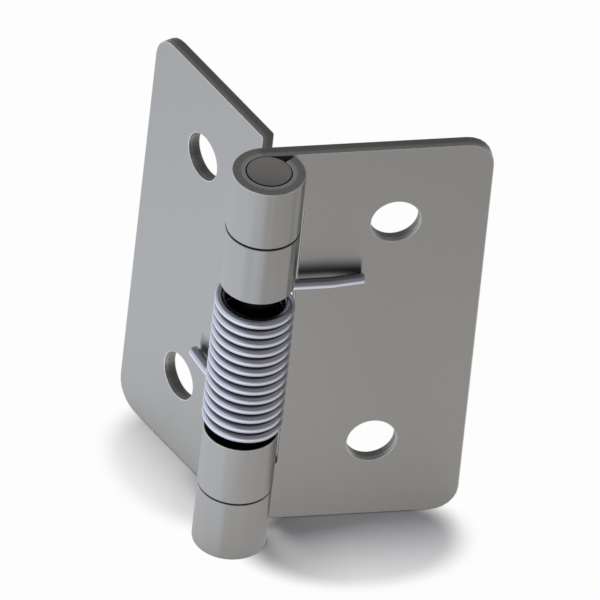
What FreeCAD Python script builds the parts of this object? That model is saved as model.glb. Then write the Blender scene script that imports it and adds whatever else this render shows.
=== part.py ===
"""Spring loaded door hinge: two rolled sheet leaves, a pin and a torsion spring.

The pin axis is the Z axis and the hinge stands on its lower end at z = 0. The fixed
leaf reaches out along +X. The moving leaf stands at the rest angle, counted from +X.
All sizes are millimetres and degrees.
"""
import FreeCAD, Part
import math
import os

Vector = FreeCAD.Vector
Rotation = FreeCAD.Rotation
Placement = FreeCAD.Placement

# Sizes that can be set by themselves: name, value, what it is.
SIZES = [
    ("height", 50.0, "leaf height, along the pin"),
    ("leaf_width", 25.0, "pin axis to the free edge of a leaf"),
    ("sheet", 1.45, "sheet thickness of both leaves"),
    ("corner_radius", 3.0, "rounding of the free corners of a leaf"),
    ("cut_back", 1.0, "gap from a knuckle to the other leaf's cut edge"),
    ("roll_end", 36.0, "angle at which the rolled sheet ends, short of its own plate"),
    ("outer_knuckle", 7.5, "height of each end knuckle, on the fixed leaf"),
    ("inner_knuckle", 7.4, "height of each inner knuckle, on the moving leaf"),
    ("knuckle_gap", 0.1, "end play between two knuckles"),
    ("hole_diameter", 5.3, "screw hole"),
    ("hole_from_axis", 15.0, "pin axis to the screw holes"),
    ("hole_from_end", 10.0, "leaf end to the nearest screw hole"),
    ("pin_diameter", 5.0, "hinge pin"),
    ("pin_chamfer", 0.15, "broken edge at both pin ends"),
    ("grip_clearance", 0.01, "radial, between the pin and the knuckles that hold it"),
    ("run_clearance", 0.05, "radial, between the pin and the knuckles that turn on it"),
    ("wire_diameter", 1.25, "spring wire"),
    ("coil_clearance", 0.575, "radial, between the pin and the coils"),
    ("coil_pitch", 1.295, "coil to coil"),
    ("coil_foot", 0.97, "lower inner knuckle to the centre line of the lowest coil's end"),
    ("coil_head", 2.0, "least room from the whole turns to the upper inner knuckle"),
    ("leg_reach", 12.0, "pin axis to the cut end of a spring leg"),
    ("leg_bend", 1.5, "bend radius of the wire where a leg leaves the coils"),
    ("leg_gap", 0.05, "cut end of a spring leg to the face of its leaf"),
    ("tip_length", 3.6, "end of a leg that is set towards the face, along the leaf"),
    ("tip_lean", 7.0, "angle by which that end is set"),
    ("tip_bend", 3.0, "bend radius where it is set"),
    ("rest_angle", 113.0, "moving leaf to fixed leaf, spring at rest"),
]

# Sizes that follow from those above: name, formula, what it is.
FOLLOWING_SIZES = [
    ("inner_high", "=outer_knuckle + knuckle_gap + inner_knuckle",
     "leaf end to the spring's side of the inner knuckle"),
    ("coil_turns", "=floor((height - 2 * inner_high - coil_foot - coil_head) / coil_pitch)",
     "whole turns between the two legs, as many as have room"),
]


def size_sheet(doc):
    """Writes the driving sizes into a spreadsheet, one alias for each."""
    sheet = doc.addObject("Spreadsheet::Sheet", "Sizes")
    for row, (alias, value, meaning) in enumerate(SIZES + FOLLOWING_SIZES, start=1):
        sheet.set("A%d" % row, alias)
        sheet.set("B%d" % row, str(value))
        sheet.set("C%d" % row, meaning)
        sheet.setAlias("B%d" % row, alias)
    doc.recompute()
    return sheet


def add_feature(body, kind, name, formulas, placement=None):
    """Adds a feature to a body and binds its properties to the size sheet."""
    feature = body.newObject("PartDesign::" + kind, name)
    if placement is not None:
        feature.Placement = placement
    for path, formula in formulas.items():
        feature.setExpression(path, formula)
    return feature


def edges_where(shape, test):
    """Names the straight edges whose two end points pass the test."""
    names = []
    for index, edge in enumerate(shape.Edges, start=1):
        if len(edge.Vertexes) == 2 and test(edge.Vertexes[0].Point, edge.Vertexes[1].Point):
            names.append("Edge%d" % index)
    return names


def make_leaf(doc, name, clearance, cuts):
    """One leaf: a flat plate whose one side is rolled round the pin, then cut and drilled.

    The roll leaves the plate at 90 degrees and runs round the pin to roll_end, just
    short of the plate's face, so the face lies on the tangent of the bore. Each cut is
    the lower and upper end of a stretch that the other leaf's knuckles or the spring
    take up, as two formulas.
    """
    body = doc.addObject("PartDesign::Body", name)
    bore = "(Sizes.pin_diameter / 2 + Sizes.%s)" % clearance
    outside = "(%s + Sizes.sheet)" % bore
    quarter_turn = Placement(Vector(), Rotation(Vector(0, 0, 1), 90))

    add_feature(body, "AdditiveCylinder", name + "_roll", {
        "Radius": outside,
        "Height": "Sizes.height",
        "Angle": "270 + Sizes.roll_end",
    }, quarter_turn)
    add_feature(body, "SubtractiveCylinder", name + "_bore", {
        "Radius": bore,
        "Height": "Sizes.height",
        "Angle": "270 + Sizes.roll_end",
    }, quarter_turn)
    add_feature(body, "AdditiveBox", name + "_plate", {
        "Length": "Sizes.leaf_width",
        "Width": "Sizes.sheet",
        "Height": "Sizes.height",
        "Placement.Base.y": bore,
    })

    for number, (low, high) in enumerate(cuts, start=1):
        add_feature(body, "SubtractiveBox", "%s_cut_%d" % (name, number), {
            "Length": "2 * %s + Sizes.cut_back" % outside,
            "Width": "2 * %s" % outside,
            "Height": "%s - (%s)" % (high, low),
            "Placement.Base.x": "-%s" % outside,
            "Placement.Base.y": "-%s" % outside,
            "Placement.Base.z": low,
        })

    across = Rotation(Vector(1, 0, 0), -90)
    hole_heights = ["Sizes.hole_from_end", "Sizes.height - Sizes.hole_from_end"]
    for number, level in enumerate(hole_heights, start=1):
        add_feature(body, "SubtractiveCylinder", "%s_hole_%d" % (name, number), {
            "Radius": "Sizes.hole_diameter / 2",
            "Height": "2 * %s" % outside,
            "Placement.Base.x": "Sizes.hole_from_axis",
            "Placement.Base.z": level,
        }, Placement(Vector(), across))
    doc.recompute()

    free_edge = doc.Sizes.leaf_width

    def at_corner(one, two):
        level = abs(one.z - two.z) < 1e-6
        return level and abs(one.x - free_edge) < 1e-6 and abs(two.x - free_edge) < 1e-6

    drilled = body.Tip
    corners = add_feature(body, "Fillet", name + "_corners", {"Radius": "Sizes.corner_radius"})
    corners.Base = (drilled, edges_where(drilled.Shape, at_corner))
    body.Tip = corners
    return body


def make_pin(doc):
    """The hinge pin, flush with the end knuckles, both ends with a broken edge."""
    body = doc.addObject("PartDesign::Body", "hinge_pin")
    shank = add_feature(body, "AdditiveCylinder", "pin_shank", {
        "Radius": "Sizes.pin_diameter / 2",
        "Height": "Sizes.height",
    })
    doc.recompute()
    rims = ["Edge%d" % index for index, edge in enumerate(shank.Shape.Edges, start=1)
            if edge.isClosed()]
    ends = add_feature(body, "Chamfer", "pin_ends", {"Size": "Sizes.pin_chamfer"})
    ends.Base = (shank, rims)
    body.Tip = ends
    return body


def coil_edge(radius, start, sweep, top, pitch):
    """The coils' centre line: it runs anticlockwise and falls by the pitch each turn."""
    edge = Part.makeHelix(pitch, pitch * sweep / 360, radius, 0, True)
    # The spiral climbs clockwise from +X. Turned upside down it falls anticlockwise.
    edge.rotate(Vector(), Vector(1, 0, 0), 180)
    edge.rotate(Vector(), Vector(0, 0, 1), start)
    edge.translate(Vector(0, 0, top))
    return edge


def leg_angle(coil_radius, bend_radius, offset):
    """Plan angle, counted from the leaf, at which the wire leaves the coils for its leg.

    The leg runs along the leaf at the offset behind the pin axis. The bend joins the two
    from outside: its centre is one bend radius from the leg and from the coils.
    """
    return math.degrees(math.asin((offset + bend_radius) / (coil_radius + bend_radius)))


def leg_edges(coil_end, coil_way, out, tip_way, sizes):
    """Bend, leg and set end, from the coil's end outwards, without a corner on the way.

    out is the leaf's own direction, along which the leg runs and its reach is measured.
    coil_way and tip_way are the wire's directions at the coil and at its cut end.
    """
    turn = coil_way.getAngle(out)
    inward = (out - coil_way * out.dot(coil_way)).normalize()
    centre = coil_end + inward * sizes.leg_bend
    bend_end = coil_end + (coil_way + out) * (sizes.leg_bend * math.tan(turn / 2))
    middle = (coil_end - centre) + (bend_end - centre)
    halfway = centre + middle.normalize() * sizes.leg_bend
    bend = Part.Arc(coil_end, halfway, bend_end).toShape()

    lean = out.getAngle(tip_way)
    corner = bend_end + out * (sizes.leg_reach - sizes.tip_length - bend_end.dot(out))
    setback = sizes.tip_bend * math.tan(lean / 2)
    set_start = corner - out * setback
    set_end = corner + tip_way * setback
    inside = (tip_way - out).normalize()
    set_middle = corner + inside * (sizes.tip_bend * (1 / math.cos(lean / 2) - 1))
    leg = Part.makeLine(bend_end, set_start)
    tip_bend = Part.Arc(set_start, set_middle, set_end).toShape()
    rest = (sizes.leg_reach - set_end.dot(out)) / tip_way.dot(out)
    tip = Part.makeLine(set_end, set_end + tip_way * rest)
    return [bend, leg, tip_bend, tip]


def make_spring(doc):
    """The torsion spring: a left handed coil whose two legs lie on the leaves' faces.

    The wire comes in level along the fixed leaf, bends round into the top coil, runs
    down anticlockwise and leaves level along the moving leaf.
    """
    sizes = doc.Sizes
    half_wire = sizes.wire_diameter / 2
    coil_radius = sizes.pin_diameter / 2 + sizes.coil_clearance + half_wire
    bottom = sizes.inner_high + sizes.coil_foot

    def angle_at(clearance):
        face = sizes.pin_diameter / 2 + clearance
        tip_offset = face - sizes.leg_gap - half_wire
        offset = tip_offset - sizes.tip_length * math.tan(math.radians(sizes.tip_lean))
        return leg_angle(coil_radius, sizes.leg_bend, offset)

    upper_angle = angle_at(sizes.grip_clearance)
    lower_angle = sizes.rest_angle - angle_at(sizes.run_clearance)
    sweep = lower_angle - upper_angle + 360 * sizes.coil_turns
    top = bottom + sizes.coil_pitch * sweep / 360
    coil = coil_edge(coil_radius, upper_angle, sweep, top, sizes.coil_pitch)

    def turned(angle):
        return Rotation(Vector(0, 0, 1), angle).multVec(Vector(1, 0, 0))

    fall = Vector(0, 0, -sizes.coil_pitch / (2 * math.pi * coil_radius))
    upper_end = turned(upper_angle) * coil_radius + Vector(0, 0, top)
    upper_way = (turned(upper_angle + 90) + fall).normalize() * -1
    upper = leg_edges(upper_end, upper_way, turned(0), turned(sizes.tip_lean), sizes)
    lower_end = turned(lower_angle) * coil_radius + Vector(0, 0, bottom)
    lower_way = (turned(lower_angle + 90) + fall).normalize()
    lower = leg_edges(lower_end, lower_way, turned(sizes.rest_angle),
                      turned(sizes.rest_angle - sizes.tip_lean), sizes)

    path = Part.Wire(upper[::-1] + [coil] + lower)
    cut_end = upper[-1].Vertexes[1].Point
    ring = Part.Circle(cut_end, turned(sizes.tip_lean), half_wire)
    wire = Part.BRepOffsetAPI.MakePipeShell(path)
    wire.setBiNormalMode(Vector(0, 0, 1))
    wire.add(Part.Wire([ring.toShape()]))
    wire.build()
    wire.makeSolid()

    spring = doc.addObject("Part::Feature", "torsion_spring")
    spring.Shape = wire.shape()
    spring.Placement = Placement()
    length = path.Length
    print("spring wire %.1f mm long, volume %.1f of %.1f mm3" % (
        length, spring.Shape.Volume, length * math.pi * half_wire ** 2))
    return spring


def build():
    doc = FreeCAD.newDocument("door_hinge")
    size_sheet(doc)

    inner_low = "Sizes.outer_knuckle + Sizes.knuckle_gap"
    fixed = make_leaf(doc, "fixed_leaf", "grip_clearance", [
        ("Sizes.outer_knuckle", "Sizes.height - Sizes.outer_knuckle"),
    ])
    moving = make_leaf(doc, "moving_leaf", "run_clearance", [
        ("-1", inner_low),
        ("Sizes.inner_high", "Sizes.height - Sizes.inner_high"),
        ("Sizes.height - (%s)" % inner_low, "Sizes.height + 1"),
    ])
    # The moving leaf is the same way round as the fixed one, turned upside down, so that
    # its plate lies behind the pin too. The half turn is about a line in plan that
    # stands at half the rest angle.
    moving.setExpression("Placement", (
        "placement(vector(0; 0; Sizes.height); "
        "rotation(vector(cos(Sizes.rest_angle / 2); sin(Sizes.rest_angle / 2); 0); 180))"))
    pin = make_pin(doc)
    doc.recompute()
    spring = make_spring(doc)
    doc.recompute()
    return doc, [fixed, moving, pin, spring]


def check(doc, pieces):
    """Stops if any object failed to compute or a piece's shape is not sound."""
    for item in doc.Objects:
        if "Invalid" in item.State or "Error" in item.State:
            raise RuntimeError("%s failed: %s" % (item.Name, item.State))
    for piece in pieces:
        if piece.Shape.isNull() or not piece.Shape.isValid():
            raise RuntimeError("%s has no sound shape" % piece.Name)
        if len(piece.Shape.Solids) != 1:
            raise RuntimeError("%s is not one solid" % piece.Name)


def main():
    doc, pieces = build()
    check(doc, pieces)
    os.makedirs("parts", exist_ok=True)
    for piece in pieces:
        piece.Label = piece.Name
        piece.Shape.exportStep("parts/%s.step" % piece.Label)
        box = piece.Shape.BoundBox
        print("%s: %.1f mm3, x %.2f to %.2f, y %.2f to %.2f, z %.2f to %.2f" % (
            piece.Label, piece.Shape.Volume, box.XMin, box.XMax, box.YMin, box.YMax,
            box.ZMin, box.ZMax))


main()
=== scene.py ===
import math

import bmesh
import bpy
from mathutils import Matrix, Vector
from mathutils.geometry import tessellate_polygon


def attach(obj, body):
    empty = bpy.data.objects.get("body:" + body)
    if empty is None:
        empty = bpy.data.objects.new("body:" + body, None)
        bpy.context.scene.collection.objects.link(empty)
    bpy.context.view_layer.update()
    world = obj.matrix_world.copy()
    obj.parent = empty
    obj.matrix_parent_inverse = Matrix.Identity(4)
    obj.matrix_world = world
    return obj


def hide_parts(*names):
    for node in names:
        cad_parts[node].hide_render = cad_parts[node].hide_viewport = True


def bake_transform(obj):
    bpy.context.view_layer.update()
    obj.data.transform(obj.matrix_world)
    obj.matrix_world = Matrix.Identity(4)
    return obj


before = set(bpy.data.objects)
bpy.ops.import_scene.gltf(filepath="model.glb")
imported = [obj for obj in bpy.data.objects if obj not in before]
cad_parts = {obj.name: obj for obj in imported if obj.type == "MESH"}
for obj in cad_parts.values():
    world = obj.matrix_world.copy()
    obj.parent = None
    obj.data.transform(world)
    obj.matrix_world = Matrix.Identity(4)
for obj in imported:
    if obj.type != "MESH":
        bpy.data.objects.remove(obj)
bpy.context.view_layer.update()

# All sizes are in millimetres, as on the hinge's drawing. They become metres in place(),
# and in the materials and the camera where they are multiplied by MM.
MM = 0.001
HEIGHT = 50.0
LEAF_WIDTH = 25.0
SHEET = 1.45
PIN_RADIUS = 2.5
FIXED_BORE = 2.51
MOVING_BORE = 2.55
ROLL = 306.0
OUTER_KNUCKLE = 7.5
INNER_LOW = 7.6
INNER_HIGH = 15.0
CUT_BACK = 1.0
HOLE_RADIUS = 2.65
HOLE_FROM_AXIS = 15.0
HOLE_FROM_END = 10.0
CORNER_RADIUS = 3.0
REST_ANGLE = 113.0

# The press and the tumbling barrel leave these small roundings on every sheared edge.
EDGE_ROUNDING = 0.11
CUT_CORNER = 0.22
PIN_ROUNDING = 0.15

# The three looks of a leaf's surface, in the order of its materials.
FACE, EDGE, RIM = range(3)

# The spring, as the CAD source has it.
WIRE_RADIUS = 0.625
COIL_RADIUS = PIN_RADIUS + 0.575 + WIRE_RADIUS
COIL_PITCH = 1.295
COIL_TURNS = 13
COIL_BOTTOM = INNER_HIGH + 0.97
LEG_TO_LEG = 17.0
LEG_REACH = 12.0
LEG_BEND = 1.5
LEG_GAP = 0.05
TIP_LENGTH = 3.6
TIP_LEAN = 7.0
TIP_BEND = 3.0
# Degrees between two rings of the drawn wire, where it curves.
WIRE_STEP = 6

# How much painted shade darkens the wire at most: on top of the legs and the first turn,
# under each turn, on the coil's inside, and behind a leg. The wire is black from 1 on.
SHADE_ON_TOP = 0.70
SHADE_BELOW = 1.4
SHADE_INSIDE = 1.05
SHADE_BEHIND = 1.35


def turned(degrees, length=1.0, height=0.0):
    """A point at this angle round the pin."""
    angle = math.radians(degrees)
    return Vector((length * math.cos(angle), length * math.sin(angle), height))


def place(name, points, faces, materials, face_materials=None, layers=None, normals=None):
    """Makes a piece from points in millimetres, with the named layers kept on its points."""
    mesh = bpy.data.meshes.new(name)
    mesh.from_pydata([Vector(p) * MM for p in points], [], faces)
    for layer, values in (layers or {}).items():
        attribute = mesh.attributes.new(layer, "FLOAT_VECTOR", "POINT")
        attribute.data.foreach_set("vector", [c for value in values for c in value])
    for material in materials:
        mesh.materials.append(material)
    if face_materials:
        mesh.polygons.foreach_set("material_index", face_materials)
    mesh.polygons.foreach_set("use_smooth", [True] * len(mesh.polygons))
    mesh.update()
    if normals:
        mesh.normals_split_custom_set_from_vertices(normals)
    piece = bpy.data.objects.new(name, mesh)
    bpy.context.scene.collection.objects.link(piece)
    return piece


def colour(code):
    """Linear colour of an sRGB hex code."""
    parts = [int(code[i:i + 2], 16) / 255 for i in (1, 3, 5)]
    linear = [c / 12.92 if c <= 0.04045 else ((c + 0.055) / 1.055) ** 2.4 for c in parts]
    return (*linear, 1.0)


def add(tree, kind, inputs=None, stops=None, **settings):
    """Adds a node with its settings. An input is a value, or (node, output) to link it.

    stops are the (place, grey or colour) pairs of a colour ramp.
    """
    made = tree.nodes.new("ShaderNode" + kind)
    for name, value in settings.items():
        setattr(made, name, value)
    for index, (where, shade) in enumerate(stops or []):
        elements = made.color_ramp.elements
        stop = elements[index] if index < len(elements) else elements.new(where)
        stop.position = where
        stop.color = (shade, shade, shade, 1.0) if isinstance(shade, float) else shade
    for socket, value in (inputs or {}).items():
        if isinstance(value, tuple) and isinstance(value[0], bpy.types.Node):
            tree.links.new(value[0].outputs[value[1]], made.inputs[socket])
        else:
            made.inputs[socket].default_value = value
    return made


def metal(name):
    """A new metal material: returns it, its tree and its shader, linked to the output."""
    material = bpy.data.materials.new(name)
    material.use_nodes = True
    tree = material.node_tree
    tree.nodes.clear()
    shader = add(tree, "BsdfPrincipled", {"Metallic": 1.0})
    add(tree, "OutputMaterial", {"Surface": (shader, 0)})
    return material, tree, shader


def dress(tree, shader, shade, rough, bump):
    """Gives a metal its colour, as (node, output), its roughness and its fine relief."""
    node, output = shade
    tree.links.new(node.outputs[output], shader.inputs["Base Color"])
    tree.links.new(rough.outputs[0], shader.inputs["Roughness"])
    tree.links.new(bump.outputs[0], shader.inputs["Normal"])


def uneven(tree, noise, least, most):
    """A roughness that follows a noise, whose values are mostly between 0.3 and 0.7."""
    return add(tree, "MapRange", {"Value": (noise, 0), "From Min": 0.3, "From Max": 0.7,
                                  "To Min": least, "To Max": most})


def by_roll(tree, parts, on_flat=0.0, on_roll=1.0):
    """One value where the sheet is flat and another where it is rolled round the pin."""
    return add(tree, "MapRange", {"Value": (parts, 0), "From Min": -0.2, "From Max": -0.6,
                                  "To Min": on_flat, "To Max": on_roll})


def near_height(tree, parts, distance):
    """How near a point of the rolled sheet is, 0 to 1, to two heights of the blank.

    They lie at this distance on either side of its middle.
    """
    reach = 0.4
    off_middle = add(tree, "Math", {0: (parts, 1), 1: HEIGHT / 2}, operation="SUBTRACT")
    either = add(tree, "Math", {0: (off_middle, 0)}, operation="ABSOLUTE")
    off_line = add(tree, "Math", {0: (either, 0), 1: distance}, operation="SUBTRACT")
    apart = add(tree, "Math", {0: (off_line, 0)}, operation="ABSOLUTE")
    near = add(tree, "MapRange", {"Value": (apart, 0), "From Min": reach,
                                  "From Max": 0.8 * reach})
    rolled = by_roll(tree, parts)
    return add(tree, "Math", {0: (near, 0), 1: (rolled, 0)}, operation="MULTIPLY")


def leg_reflection_shade(tree, parts):
    """How much painted shade lies on the leaf's face above a leg of the spring, as the leg's
    dark reflection and contact shadow. Each leg lies on its own leaf, so both patches are at
    about one height of the blank. A patch fades out upwards, and ends where the leg does.
    """
    darkest = 0.69
    tall = 3.0
    middle = HEIGHT - COIL_BOTTOM - 0.5
    stood = add(tree, "SeparateXYZ", {"Vector": (add(tree, "TexCoord"), "Object")})
    risen = add(tree, "Math", {0: (stood, 2), 1: 1 / MM, 2: -COIL_BOTTOM},
                operation="MULTIPLY_ADD")
    above = add(tree, "Math", {0: (risen, 0), 1: LEG_TO_LEG}, operation="MODULO")
    share = add(tree, "MapRange", {"Value": (above, 0), "From Max": tall})
    leg_shade = add(tree, "ValToRGB", {"Fac": (share, 0)},
                [(0.10, 0.0), (0.25, darkest), (0.31, darkest), (0.87, 0.0)])
    off_line = add(tree, "Math", {0: (parts, 1), 1: middle}, operation="SUBTRACT")
    apart = add(tree, "Math", {0: (off_line, 0)}, operation="ABSOLUTE")
    # It keeps to this much from its height, from the axis and from the front face.
    for way, limit in (((apart, 0), 2.4), ((parts, 0), LEG_REACH - 0.1), ((parts, 2), 0.5)):
        kept = add(tree, "MapRange", {"Value": way, "From Min": limit,
                                      "From Max": limit - 0.2})
        leg_shade = add(tree, "Math", {0: (leg_shade, 0), 1: (kept, 0)}, operation="MULTIPLY")
    return leg_shade


def satin_sheet_steel():
    """Stainless sheet, belt-brushed along the leaf's width before it is cut and rolled.

    The grain follows the sheet round the knuckles. It spreads reflections up and down
    but leaves them sharp along the leaf, and it is so fine that the face looks satin.
    """
    material, tree, shader = metal("satin_sheet_steel")
    blank = (add(tree, "Attribute", attribute_name="blank"), "Vector")
    # A 180 grit belt cuts lines about 0.05 mm apart. Drawn at 0.12 mm so that they show.
    brushed = add(tree, "Mapping", {"Vector": blank, "Scale": (0.16, 8.0, 1.0)})
    lines = add(tree, "TexNoise", {"Vector": (brushed, 0), "Scale": 1.0, "Detail": 3.0,
                                   "Roughness": 0.6})
    # Slow changes of tone from rolling and handling, some 10 mm across.
    handled = add(tree, "Mapping", {"Vector": blank, "Scale": (0.09, 0.12, 1.0)})
    clouds = add(tree, "TexNoise", {"Vector": (handled, 0), "Scale": 1.0, "Detail": 4.0,
                                    "Roughness": 0.55})
    tone = add(tree, "Mix", {0: 0.22, 2: (clouds, 0), 3: (lines, 0)}, data_type="FLOAT")
    shade = add(tree, "ValToRGB", {"Fac": (tone, 0)},
                [(0.30, colour("#aeadac")), (0.70, colour("#b6b6b5"))])
    parts = add(tree, "SeparateXYZ", {"Vector": blank})
    # Painted shade above each leg of the spring, standing in for the leg's dark reflection.
    leg_shaded = add(tree, "Mix", {0: (leg_reflection_shade(tree, parts), 0), 6: (shade, 0),
                                7: colour("#1c1c20")}, data_type="RGBA")
    rough = uneven(tree, tone, 0.30, 0.36)
    # The curling tool leaves faint flats along the knuckles, 1 to 2 mm wide.
    curled = add(tree, "MapRange", {"Value": (parts, 0), "From Min": -0.5, "From Max": -1.5})
    round_pin = add(tree, "Mapping", {"Vector": blank, "Scale": (0.55, 0.01, 0.0)})
    flats = add(tree, "TexNoise", {"Vector": (round_pin, 0), "Scale": 1.0, "Detail": 1.0})
    flatness = add(tree, "Math", {0: (flats, 0), 1: (curled, 0)}, operation="MULTIPLY")
    waves = add(tree, "Bump", {"Strength": 0.8, "Distance": 0.0006, "Height": (flatness, 0)})
    bump = add(tree, "Bump", {"Strength": 0.04, "Distance": 0.00002, "Height": (lines, 0),
                              "Normal": (waves, 0)})
    dress(tree, shader, (leg_shaded, 2), rough, bump)
    along_pin = add(tree, "CombineXYZ", {"Z": 1.0})
    tree.links.new(along_pin.outputs[0], shader.inputs["Tangent"])
    shader.inputs["Anisotropic"].default_value = 0.94
    return material


def sheared_edge_steel():
    """The same sheet where the press has cut it.

    The first third of the cut is burnished smooth by the punch, and the rest is broken
    and dull, so the edge shows a lighter and a darker band. The knuckles' ends are faced
    flat after rolling, which leaves them brighter than the other cuts. Beside the spring
    their ends are painted nearly black, as painted shade in the gap by the coils.
    """
    material, tree, shader = metal("sheared_edge_steel")
    blank = (add(tree, "Attribute", attribute_name="blank"), "Vector")
    parts = add(tree, "SeparateXYZ", {"Vector": blank})
    grit = add(tree, "TexNoise", {"Vector": blank, "Scale": 5.0, "Detail": 5.0,
                                  "Roughness": 0.65})
    depth = add(tree, "Math", {0: (grit, 0), 1: 0.45, 2: (parts, 2)},
                operation="MULTIPLY_ADD")
    band = add(tree, "MapRange", {"Value": (depth, 0), "From Min": 0.62, "From Max": 0.86})
    grain = add(tree, "Math", {0: (band, 0), 1: 0.30, 2: (grit, 0)}, operation="MULTIPLY_ADD")
    shade = add(tree, "ValToRGB", {"Fac": (grain, 0)},
                [(0.35, colour("#c8c8c7")), (0.90, colour("#929290"))])
    faced = by_roll(tree, parts, 0.82, 1.16)
    cut = add(tree, "VectorMath", {0: (shade, 0), "Scale": (faced, 0)}, operation="SCALE")
    # Painted shade: beside the spring the knuckles' ends turn nearly black.
    shade_by_spring = near_height(tree, parts, HEIGHT / 2 - INNER_HIGH)
    shaded_in_gap = add(tree, "Mix", {0: (shade_by_spring, 0), 6: (cut, 0), 7: colour("#2b2b2c")},
                data_type="RGBA")
    rough = add(tree, "MapRange", {"Value": (band, 0), "To Min": 0.34, "To Max": 0.44})
    bump = add(tree, "Bump", {"Strength": 0.25, "Distance": 0.00003, "Height": (grit, 0)})
    dress(tree, shader, (shaded_in_gap, 2), rough, bump)
    return material


def tumbled_rim_steel():
    """The rounding of every sheared edge, rubbed bright when the leaves are tumbled.

    It gives each edge a thin light line, uneven where the stones have struck it. In the
    joints between the knuckles it is darkened with painted shade, and along the foot
    that the hinge stands on with a painted contact shadow.
    """
    material, tree, shader = metal("tumbled_rim_steel")
    blank = (add(tree, "Attribute", attribute_name="blank"), "Vector")
    # Strokes of the tumbling stones, some 0.4 mm long.
    strokes = add(tree, "TexNoise", {"Vector": blank, "Scale": 2.5, "Detail": 4.0,
                                     "Roughness": 0.6})
    shade = add(tree, "ValToRGB", {"Fac": (strokes, 0)},
                [(0.30, colour("#c4c3c1")), (0.65, colour("#e0dfde"))])
    parts = add(tree, "SeparateXYZ", {"Vector": blank})
    # Painted shade in the joints between the knuckles.
    joint_shade = near_height(tree, parts, HEIGHT / 2 - (OUTER_KNUCKLE + INNER_LOW) / 2)
    shaded_in_gap = add(tree, "Mix", {0: (joint_shade, 0), 6: (shade, 0), 7: colour("#6a6967")},
                data_type="RGBA")
    # Painted contact shadow along the foot that the hinge stands on.
    stood = add(tree, "SeparateXYZ", {"Vector": (add(tree, "TexCoord"), "Object")})
    foot_shade = add(tree, "MapRange", {"Value": (stood, 2), "From Min": 0.14 * MM,
                                  "From Max": EDGE_ROUNDING * MM})
    foot_shaded = add(tree, "Mix", {0: (foot_shade, 0), 6: (shaded_in_gap, 2), 7: colour("#343332")},
                 data_type="RGBA")
    rough = uneven(tree, strokes, 0.28, 0.42)
    bump = add(tree, "Bump", {"Strength": 0.08, "Distance": 0.00003, "Height": (strokes, 0)})
    dress(tree, shader, (foot_shaded, 2), rough, bump)
    return material


def ground_pin_steel():
    """Pin steel, centreless ground, with its two ends faced.

    The ends show bare grey steel like the sheet's edges. The shank is painted nearly
    black as shade, and so is the small rounding at each end, which draws a dark circle
    round the end.
    """
    material, tree, shader = metal("ground_pin_steel")
    where = (add(tree, "TexCoord"), "Object")
    # Grinding marks run round the pin, 0.1 mm apart. Drawn at 0.2 mm so that they show.
    ground = add(tree, "Mapping", {"Vector": where, "Scale": (150.0, 150.0, 5000.0)})
    rings = add(tree, "TexNoise", {"Vector": (ground, 0), "Scale": 1.0, "Detail": 3.0})
    bare = add(tree, "ValToRGB", {"Fac": (rings, 0)},
               [(0.3, colour("#aeacaa")), (0.7, colour("#bab8b6"))])
    # Painted shade: the shank and the end rounding are drawn nearly black.
    shade_black = add(tree, "ValToRGB", {"Fac": (rings, 0)},
                [(0.3, colour("#262627")), (0.7, colour("#343435"))])
    parts = add(tree, "SeparateXYZ", {"Vector": where})
    off_middle = add(tree, "Math", {0: (parts, 2), 1: HEIGHT / 2 * MM},
                     operation="SUBTRACT")
    end_ward = add(tree, "Math", {0: (off_middle, 0)}, operation="ABSOLUTE")
    shank_end = HEIGHT / 2 - PIN_ROUNDING
    shank = add(tree, "MapRange", {"Value": (end_ward, 0), "From Min": (shank_end + 0.05) * MM,
                                   "From Max": (shank_end - 0.05) * MM})
    flat = add(tree, "Mapping", {"Vector": where, "Scale": (1.0, 1.0, 0.0)})
    radius = add(tree, "VectorMath", {0: (flat, 0)}, operation="LENGTH")
    face_edge = PIN_RADIUS - PIN_ROUNDING
    rounding = add(tree, "MapRange", {"Value": (radius, "Value"),
                                      "From Min": (face_edge + 0.01) * MM,
                                      "From Max": (face_edge + 0.04) * MM})
    shade_mask = add(tree, "Math", {0: (shank, 0), 1: (rounding, 0)}, operation="MAXIMUM")
    shade = add(tree, "Mix", {0: (shade_mask, 0), 6: (bare, 0), 7: (shade_black, 0)},
                data_type="RGBA")
    rough = uneven(tree, rings, 0.28, 0.38)
    bump = add(tree, "Bump", {"Strength": 0.05, "Distance": 0.00002, "Height": (rings, 0)})
    dress(tree, shader, (shade, 2), rough, bump)
    return material


def drawn_spring_wire():
    """Stainless spring wire, cold drawn: bright, with draw lines that follow the wire.

    Painted shade darkens the wire's top and the wire between the coils, inside them and
    behind the legs, so each coil stands out from its neighbours by a dark line.
    """
    material, tree, shader = metal("drawn_spring_wire")
    wire = (add(tree, "Attribute", attribute_name="wire"), "Vector")
    # Draw lines are about 0.03 mm apart round the wire. Drawn at 0.12 mm so that they show.
    drawn = add(tree, "Mapping", {"Vector": wire, "Scale": (0.25, 5.0, 5.0)})
    lines = add(tree, "TexNoise", {"Vector": (drawn, 0), "Scale": 1.0, "Detail": 3.0,
                                   "Roughness": 0.6})
    bright = add(tree, "ValToRGB", {"Fac": (lines, 0)},
                 [(0.3, colour("#d8daea")), (0.7, colour("#ebedf9"))])
    # How much painted shade lies at each point of the wire, set in spring().
    gap = add(tree, "Attribute", attribute_name="gap")
    shade_level = add(tree, "Math", {0: (lines, 0), 1: 0.12, 2: (gap, "Fac")},
               operation="MULTIPLY_ADD")
    shade_cover = add(tree, "ValToRGB", {"Fac": (shade_level, 0)},
               [(0.10, 0.0), (0.30, 0.30), (0.85, 0.34), (1.0, 0.85)])
    shade = add(tree, "Mix", {0: (shade_cover, 0), 6: (bright, 0), 7: colour("#1c1e30")},
                data_type="RGBA")
    rough = uneven(tree, lines, 0.14, 0.24)
    bump = add(tree, "Bump", {"Strength": 0.08, "Distance": 0.00003, "Height": (lines, 0)})
    dress(tree, shader, (shade, 2), rough, bump)
    return material


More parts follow.
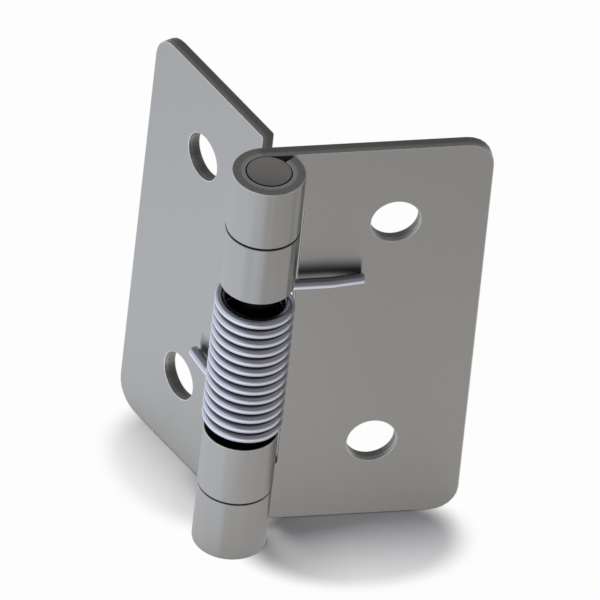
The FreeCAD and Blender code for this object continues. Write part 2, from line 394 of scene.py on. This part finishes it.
def rounded_loop(corners, inset):
    """An outline from (along, up, radius) corners, moved inwards, as (point, outward way).

    A corner that the material fills grows smaller with the inset. A corner that is cut
    out of it grows larger, so every ring has the same number of points.
    """
    loop = []
    count = len(corners)
    steps = 6
    for index, (x, y, radius) in enumerate(corners):
        here = Vector((x, y))
        before = Vector(corners[index - 1][:2]) - here
        after = Vector(corners[(index + 1) % count][:2]) - here
        before.normalize()
        after.normalize()
        # The outline runs anticlockwise, so a left turn is an outer corner.
        outer = before.x * after.y - before.y * after.x < 0
        centre = here + (before + after) * radius
        reach = radius - inset if outer else radius + inset
        start = -after
        finish = -before
        for step in range(steps + 1):
            part = math.radians(90 * step / steps)
            way = start * math.cos(part) + finish * math.sin(part)
            loop.append((centre + way * reach, way if outer else -way))
    return loop


def hole_loop(along, up, inset):
    """A screw hole, clockwise, as a hole in the sheet."""
    count = 72
    ways = [Vector((math.cos(-a), math.sin(-a)))
            for a in (2 * math.pi * i / count for i in range(count))]
    return [(Vector((along, up)) + way * (HOLE_RADIUS + inset), -way) for way in ways]


def leaf(name, body, bore, tabs, turn):
    """A leaf, made as the real one: a flat blank with rounded edges, rolled round the pin.

    tabs are the stretches of height that are rolled, from the bottom up. turn takes the
    finished leaf to its place.
    """
    middle = bore + SHEET / 2
    tab_length = math.radians(ROLL) * middle
    notch = bore + SHEET + CUT_BACK

    corners = [(LEAF_WIDTH, 0.0, CORNER_RADIUS), (LEAF_WIDTH, HEIGHT, CORNER_RADIUS)]
    edge = HEIGHT
    for low, high in reversed(tabs):
        if high < edge:
            corners += [(notch, edge, CUT_CORNER), (notch, high, CUT_CORNER)]
        corners += [(-tab_length, high, CUT_CORNER), (-tab_length, low, CUT_CORNER)]
        edge = low
    if edge > 0:
        corners += [(notch, edge, CUT_CORNER), (notch, 0.0, CUT_CORNER)]

    # Rings from the front face over the rounded edges to the back face: how far in, how
    # deep, and how much the surface there faces outwards and backwards.
    rings = []
    steps = 3
    for step in range(steps + 1):
        angle = math.radians(90 * (1 - step / steps))
        rings.append((EDGE_ROUNDING * (1 - math.cos(angle)),
                      EDGE_ROUNDING * (1 - math.sin(angle)),
                      math.cos(angle), -math.sin(angle)))
    rings += [(inset, SHEET - depth, out, -back)
              for inset, depth, out, back in reversed(rings)]

    points, ways, faces, marks, loops = [], [], [], [], []
    for inset, depth, out, back in rings:
        level = [rounded_loop(corners, inset)]
        level += [hole_loop(HOLE_FROM_AXIS, up, inset)
                  for up in (HOLE_FROM_END, HEIGHT - HOLE_FROM_END)]
        numbers = []
        for loop in level:
            numbers.append(range(len(points), len(points) + len(loop)))
            points += [(p.x, p.y, depth) for p, way in loop]
            ways += [(way.x * out, way.y * out, back) for p, way in loop]
        loops.append(numbers)
    for level, (low, high) in enumerate(zip(loops, loops[1:])):
        for one, two in zip(low, high):
            for a, b, c, d in zip(one, [*one[1:], one[0]], [*two[1:], two[0]], two):
                faces.append((a, d, c, b))
                marks.append(EDGE if level == steps else RIM)
    for numbers, front in ((loops[0], True), (loops[-1], False)):
        flat = [i for loop in numbers for i in loop]
        outline = [[Vector(points[i]).xy.to_3d() for i in loop] for loop in numbers]
        for tri in tessellate_polygon(outline):
            a, b, c = (flat[i] for i in tri)
            area = ((points[b][0] - points[a][0]) * (points[c][1] - points[a][1])
                    - (points[b][1] - points[a][1]) * (points[c][0] - points[a][0]))
            # The blank's (along, up, deep) is left handed once it stands round the pin.
            upright = (area > 0) == front
            faces.append((a, b, c) if upright else (a, c, b))
            marks.append(FACE)

    rolled_leaf(name, body, points, ways, faces, marks, bore, tab_length, turn)


def rolled_leaf(name, body, points, ways, faces, marks, bore, tab_length, turn):
    """Cuts the blank's faces across where it is rolled, rolls it and places it."""
    flat = bmesh.new()
    layer = flat.verts.layers.float_vector.new("way")
    made = []
    for point, way in zip(points, ways):
        made.append(flat.verts.new(point))
        made[-1][layer] = way
    for face, mark in zip(faces, marks):
        flat.faces.new([made[i] for i in face]).material_index = mark
    degrees_apart = 4
    count = round(ROLL / degrees_apart)
    for step in range(count):
        along = -tab_length * step / count
        bmesh.ops.bisect_plane(flat, geom=flat.verts[:] + flat.edges[:] + flat.faces[:],
                               dist=1e-5, plane_co=(along, 0, 0), plane_no=(1, 0, 0))
    flat.verts.index_update()

    blank = [v.co.copy() for v in flat.verts]
    places, normals = [], []
    middle = bore + SHEET / 2
    for p, vert in zip(blank, flat.verts):
        way = vert[layer]
        angle = 90 + math.degrees(max(0, -p.x) / middle)
        out = turned(angle)
        along = turned(angle - 90)
        spot = out * (bore + p.z) + along * max(0, p.x) + Vector((0, 0, p.y))
        normal = along * way.x + out * way.z + Vector((0, 0, way.y))
        places.append(turn @ spot)
        normals.append((turn.to_3x3() @ normal).normalized())
    cut = [[v.index for v in f.verts] for f in flat.faces]
    marked = [f.material_index for f in flat.faces]
    flat.free()

    piece = place(name, places, cut, [FACE_STEEL, EDGE_STEEL, RIM_STEEL], marked,
                  {"blank": blank}, normals)
    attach(piece, body)
    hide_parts(name.replace("_dressed", ""))


def pin():
    """The pin, turned from its profile: faced ends with a small rounded edge."""
    lengths = 12
    face_edge = PIN_RADIUS - PIN_ROUNDING
    end = [(0.0, 0.0), (face_edge, 0.0)]
    end += [(face_edge + PIN_ROUNDING * math.sin(a), PIN_ROUNDING * (1 - math.cos(a)))
            for a in (math.radians(d) for d in (30, 60, 90))]
    side = [(PIN_RADIUS, HEIGHT * i / lengths) for i in range(1, lengths)]
    profile = end + side + [(r, HEIGHT - z) for r, z in reversed(end)]
    count = 120
    points = [(0, 0, 0)]
    for radius, height in profile[1:-1]:
        points += [turned(360 * i / count, radius, height) for i in range(count)]
    points.append((0, 0, HEIGHT))
    faces = []
    rows = len(profile) - 2
    for i in range(count):
        j = (i + 1) % count
        faces.append((0, 1 + j, 1 + i))
        for row in range(rows - 1):
            low, high = 1 + row * count, 1 + (row + 1) * count
            faces.append((low + i, low + j, high + j, high + i))
        top = 1 + (rows - 1) * count
        faces.append((top + i, top + j, len(points) - 1))
    piece = place("hinge_pin_dressed", points, faces, [PIN_STEEL])
    piece.modifiers.new("even_shading", "WEIGHTED_NORMAL")
    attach(piece, "fixed_side")
    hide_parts("hinge_pin")


def leg_angle(face):
    """Plan angle from the leaf at which the wire leaves the coils for its leg."""
    tip = face - LEG_GAP - WIRE_RADIUS
    offset = tip - TIP_LENGTH * math.tan(math.radians(TIP_LEAN))
    return math.degrees(math.asin((offset + LEG_BEND) / (COIL_RADIUS + LEG_BEND)))


def bent(start, way, new_way, radius):
    """Points round a bend of the wire, from one direction to another, after its start."""
    turn = way.angle(new_way)
    inward = (new_way - way * new_way.dot(way)).normalized()
    centre = start + inward * radius
    steps = max(3, round(math.degrees(turn) / WIRE_STEP))
    return [centre + (way * math.sin(turn * i / steps) - inward * math.cos(turn * i / steps))
            * radius for i in range(1, steps + 1)]


def leg_line(coil_end, coil_way, out, tip_way):
    """Points from the coil's end round the bend, along the leg and along its set end."""
    bend = bent(coil_end, coil_way, out, LEG_BEND)
    setback = TIP_BEND * math.tan(out.angle(tip_way) / 2)
    straight = LEG_REACH - TIP_LENGTH - setback - bend[-1].dot(out)
    leg_steps, tip_steps = 10, 6
    leg = [bend[-1] + out * straight * i / leg_steps for i in range(1, leg_steps + 1)]
    tip_bend = bent(leg[-1], out, tip_way, TIP_BEND)
    rest = (LEG_REACH - tip_bend[-1].dot(out)) / tip_way.dot(out)
    tip = [tip_bend[-1] + tip_way * rest * i / tip_steps for i in range(1, tip_steps + 1)]
    return bend + leg + tip_bend + tip


def spring_line():
    """The wire's centre line from the upper leg's cut end down to the lower leg's.

    With it come the turns that the coil has made at each point, none on the legs.
    """
    upper_angle = leg_angle(FIXED_BORE)
    lower_angle = REST_ANGLE - leg_angle(MOVING_BORE)
    sweep = lower_angle - upper_angle + 360 * COIL_TURNS
    top = COIL_BOTTOM + COIL_PITCH * sweep / 360
    fall = Vector((0, 0, -COIL_PITCH / (2 * math.pi * COIL_RADIUS)))

    upper_way = -(turned(upper_angle + 90) + fall).normalized()
    upper = leg_line(turned(upper_angle, COIL_RADIUS, top), upper_way,
                     turned(0), turned(TIP_LEAN))
    lower_way = (turned(lower_angle + 90) + fall).normalized()
    lower = leg_line(turned(lower_angle, COIL_RADIUS, COIL_BOTTOM), lower_way,
                     turned(REST_ANGLE), turned(REST_ANGLE - TIP_LEAN))
    steps = round(sweep / WIRE_STEP)
    coil = [turned(upper_angle + sweep * i / steps, COIL_RADIUS,
                   top - COIL_PITCH * sweep * i / steps / 360) for i in range(steps + 1)]
    turns = [None] * len(upper) + [sweep * i / steps / 360 for i in range(steps + 1)]
    return upper[::-1] + coil + lower, turns + [None] * len(lower)


def shade_by_turn(turn):
    """How painted shade lies after this many turns of the coil, or on a leg if it is None.

    It is (how full the top is, how much lies below, how much inside). The top is full
    soon after the first turn. A leg has its painted shade on the other side, behind it.
    """
    if turn is None:
        return 0.0, 0.0, -SHADE_BEHIND
    fills_within = 1 / 6
    full = min(1.0, max(0.0, (turn - 1.0) / fills_within))
    return full, SHADE_BELOW, SHADE_INSIDE


def shade_at(angle, above, below, inside):
    """How much painted shade covers the wire at this angle from its top."""
    facing = math.cos(angle)
    if facing > 0:
        cover = facing * above + min(facing, SHADE_ON_TOP) * (1 - above)
    else:
        cover = -facing * below
    return max(cover, -math.sin(angle) * inside)


def spring():
    """The wire, round along its centre line, with sheared ends that are slightly rounded."""
    line, turns = spring_line()
    rounding = 0.12
    sides = 24
    end_shade = (0.0, 0.0, 0.0)
    stations = []
    walked = 0.0
    for index, here in enumerate(line):
        ahead = line[min(index + 1, len(line) - 1)]
        behind = line[max(index - 1, 0)]
        if index:
            walked += (here - line[index - 1]).length
        stations.append((here, (ahead - behind).normalized(), walked, shade_by_turn(turns[index])))
    start, start_way = stations[0][:2]
    finish, finish_way = stations[-1][:2]
    rings = [(start + start_way * rounding * (1 - math.cos(a)), start_way,
              WIRE_RADIUS - rounding + rounding * math.sin(a), 0.0, end_shade)
             for a in (math.radians(d) for d in (0, 30, 60))]
    rings += [(here + way * (rounding if index == 0 else 0), way, WIRE_RADIUS, along, shade_cover)
              for index, (here, way, along, shade_cover) in enumerate(stations[:-1])]
    rings += [(finish - finish_way * rounding * (1 - math.cos(a)), finish_way,
               WIRE_RADIUS - rounding + rounding * math.sin(a), walked, end_shade)
              for a in (math.radians(d) for d in (90, 60, 30, 0))]

    points, wire, gap = [], [], []
    for centre, way, radius, along, shade_cover in rings:
        up = Vector((0, 0, 1))
        up = (up - way * up.dot(way)).normalized()
        side = way.cross(up)
        for i in range(sides):
            angle = 2 * math.pi * i / sides
            spoke = up * math.cos(angle) + side * math.sin(angle)
            points.append(centre + spoke * radius)
            wire.append((along, math.cos(angle), math.sin(angle)))
            # The painted shade at this point of the wire.
            gap.append([shade_at(angle, *shade_cover)] * 3)
    faces = []
    for row in range(len(rings) - 1):
        low, high = row * sides, (row + 1) * sides
        for i in range(sides):
            j = (i + 1) % sides
            faces.append((low + i, low + j, high + j, high + i))
    faces.append(tuple(reversed(range(sides))))
    faces.append(tuple(range((len(rings) - 1) * sides, len(rings) * sides)))
    piece = place("torsion_spring_dressed", points, faces, [WIRE_STEEL], None,
                  {"wire": wire, "gap": gap})
    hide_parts("torsion_spring")
    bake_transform(piece)


def floor():
    """A wide pale floor, matt like painted board, that fades into a white background.

    In the metal's mirror the floor glows with painted light: plain white close by on the
    left, greyer to the right and greyer further off. The white starts
    outside two ovals, which hold the shadows of the two leaves.
    """
    half = 4000.0
    # Each oval's middle, angle and half sizes.
    ovals = [((0.0132, -0.0018, 0.0), 0.0, (0.0132, 0.0086, 1.0)),
             ((-0.0023, 0.0115, 0.0), REST_ANGLE, (0.0114, 0.0091, 1.0))]
    material = bpy.data.materials.new("painted_board")
    material.use_nodes = True
    tree = material.node_tree
    tree.nodes.clear()
    board = add(tree, "BsdfDiffuse", {"Color": colour("#fcfcfc")})
    spot = (add(tree, "NewGeometry"), "Position")
    away = add(tree, "VectorMath", {0: spot}, operation="LENGTH")
    near = add(tree, "ValToRGB", {"Fac": (away, "Value")},
               [(0.045, 1.0), (0.085, 0.70), (1.0, 0.60)])
    parts = add(tree, "SeparateXYZ", {"Vector": spot})
    across = add(tree, "MapRange", {"Value": (parts, 0), "From Min": -0.06, "From Max": 0.06})
    # Tones of light, linear, from left to right. White is 1, and the lit side is brighter.
    lit = add(tree, "ValToRGB", {"Fac": (across, 0)},
              [(0.0, (1.20, 1.26, 1.34, 1)), (0.37, (0.94, 0.99, 1.05, 1)),
               (0.49, (0.80, 0.79, 0.775, 1)), (0.66, (0.64, 0.62, 0.585, 1)),
               (1.0, (0.58, 0.56, 0.53, 1))])
    tone = add(tree, "Mix", {0: 1.0, 6: (near, 0), 7: (lit, 0)}, data_type="RGBA",
               blend_type="MULTIPLY")
    # The floor's painted light, as the metal mirrors it.
    seen = add(tree, "Emission", {"Color": (tone, 2), "Strength": 1.05})
    white = add(tree, "Emission", {"Color": colour("#fdfdfd"), "Strength": 1.0})
    reached = []
    for middle, angle, size in ovals:
        oval = add(tree, "Mapping", {"Vector": spot, "Location": middle, "Scale": size,
                                     "Rotation": (0.0, 0.0, math.radians(angle))},
                   vector_type="TEXTURE")
        length = add(tree, "VectorMath", {0: (oval, 0)}, operation="LENGTH")
        reached.append((length, "Value"))
    outside = add(tree, "Math", {0: reached[0], 1: reached[1]}, operation="MINIMUM")
    fade = add(tree, "MapRange", {"Value": (outside, 0), "From Min": 0.70,
                                  "From Max": 1.05}, interpolation_type="SMOOTHSTEP")
    path = add(tree, "LightPath")
    faded = add(tree, "Math", {0: (fade, 0), 1: (path, "Is Camera Ray")},
                operation="MULTIPLY")
    far = add(tree, "MixShader", {0: (faded, 0), 1: (board, 0), 2: (white, 0)})
    # The rest of the mirrored floor is the board itself, with the object's shadow.
    mirrored = add(tree, "Math", {0: (path, "Is Glossy Ray"),
                                  1: (path, "Is Transmission Ray")}, operation="MAXIMUM")
    share = add(tree, "Math", {0: (mirrored, 0), 1: 0.72}, operation="MULTIPLY")
    both = add(tree, "MixShader", {0: (share, 0), 1: (far, 0), 2: (seen, 0)})
    add(tree, "OutputMaterial", {"Surface": (both, 0)})
    corners = [(-half, -half, 0), (half, -half, 0), (half, half, 0), (-half, half, 0)]
    piece = place("floor", corners, [(0, 1, 2, 3)], [material])


def daylight():
    """Even light from all round.

    The metal mirrors a grey room with a darker ceiling and a tall window on its left.
    """
    world = bpy.data.worlds.new("studio")
    bpy.context.scene.world = world
    world.use_nodes = True
    tree = world.node_tree
    tree.nodes.clear()
    way = add(tree, "SeparateXYZ", {"Vector": (add(tree, "TexCoord"), "Generated")})
    room = add(tree, "ValToRGB", {"Fac": (way, 2)},
               [(0.0, 0.26), (0.68, 0.28), (0.82, 0.18), (1.0, 0.06)])
    left = add(tree, "MapRange", {"Value": (way, 0), "From Min": -0.30, "From Max": -0.85})
    low = add(tree, "MapRange", {"Value": (way, 2), "From Min": 0.55, "From Max": 0.25})
    window = add(tree, "Math", {0: (left, 0), 1: (low, 0)}, operation="MULTIPLY")
    seen = add(tree, "Mix", {0: (window, 0), 6: (room, 0), 7: (0.95, 1.00, 1.08, 1)},
               data_type="RGBA")
    path = add(tree, "LightPath")
    soft = add(tree, "Mix", {0: (path, "Is Diffuse Ray"), 6: (seen, 2),
                             7: (0.236, 0.226, 0.243, 1)}, data_type="RGBA")
    back = add(tree, "Mix", {0: (path, "Is Camera Ray"), 6: (soft, 2),
                             7: colour("#fdfdfd")}, data_type="RGBA")
    light = add(tree, "Background", {"Color": (back, 2), "Strength": 1.0})
    add(tree, "OutputWorld", {"Surface": (light, 0)})


def overhead_box():
    """A soft box above and behind the hinge, turned to its foot.

    It lights the floor and draws the shadow. The metal doesn't mirror it.
    """
    spot = Vector((-0.016, 0.127, 0.80))
    light = bpy.data.lights.new("overhead_box", "AREA")
    light.shape = "RECTANGLE"
    light.size = light.size_y = 0.23
    light.energy = 5.2
    made = bpy.data.objects.new("overhead_box", light)
    made.location = spot
    made.rotation_euler = (-spot).to_track_quat("-Z", "Y").to_euler()
    made.visible_glossy = False
    bpy.context.scene.collection.objects.link(made)


def camera():
    """A view without perspective, because the photograph shows none.

    Angles, width and aim come from the fit to the photograph's measured points.
    """
    turn = math.radians(-14.724)
    rise = math.radians(39.212)
    roll = math.radians(6.333)
    width = 63.34
    aside, below = 3.246, 13.585
    far = 300.0
    ahead = Vector((-math.sin(turn), math.cos(turn), 0))
    view = ahead * math.cos(rise) - Vector((0, 0, math.sin(rise)))
    right = Vector((math.cos(turn), math.sin(turn), 0))
    up = right.cross(view)
    across = right * math.cos(roll) + up * math.sin(roll)
    over = up * math.cos(roll) - right * math.sin(roll)
    target = Vector((0, 0, HEIGHT)) + across * aside - over * below
    spot = (target - view * far) * MM
    data = bpy.data.cameras.new("camera")
    data.type = "ORTHO"
    data.ortho_scale = width * MM
    made = bpy.data.objects.new("camera", data)
    made.matrix_world = Matrix((
        (across.x, over.x, -view.x, spot.x),
        (across.y, over.y, -view.y, spot.y),
        (across.z, over.z, -view.z, spot.z),
        (0, 0, 0, 1)))
    bpy.context.scene.collection.objects.link(made)
    bpy.context.scene.camera = made


FACE_STEEL = satin_sheet_steel()
EDGE_STEEL = sheared_edge_steel()
RIM_STEEL = tumbled_rim_steel()
PIN_STEEL = ground_pin_steel()
WIRE_STEEL = drawn_spring_wire()

# The moving leaf is the same form, turned end for end about a line at half the angle.
end_for_end = (Matrix.Translation((0, 0, HEIGHT))
               @ Matrix.Rotation(math.pi, 4, turned(REST_ANGLE / 2)))
leaf("fixed_leaf_dressed", "fixed_side", FIXED_BORE,
     [(0.0, OUTER_KNUCKLE), (HEIGHT - OUTER_KNUCKLE, HEIGHT)], Matrix.Identity(4))
leaf("moving_leaf_dressed", "moving_side", MOVING_BORE,
     [(INNER_LOW, INNER_HIGH), (HEIGHT - INNER_HIGH, HEIGHT - INNER_LOW)], end_for_end)
pin()
spring()

floor()
daylight()
overhead_box()
camera()

bpy.context.scene.view_settings.view_transform = "Standard"
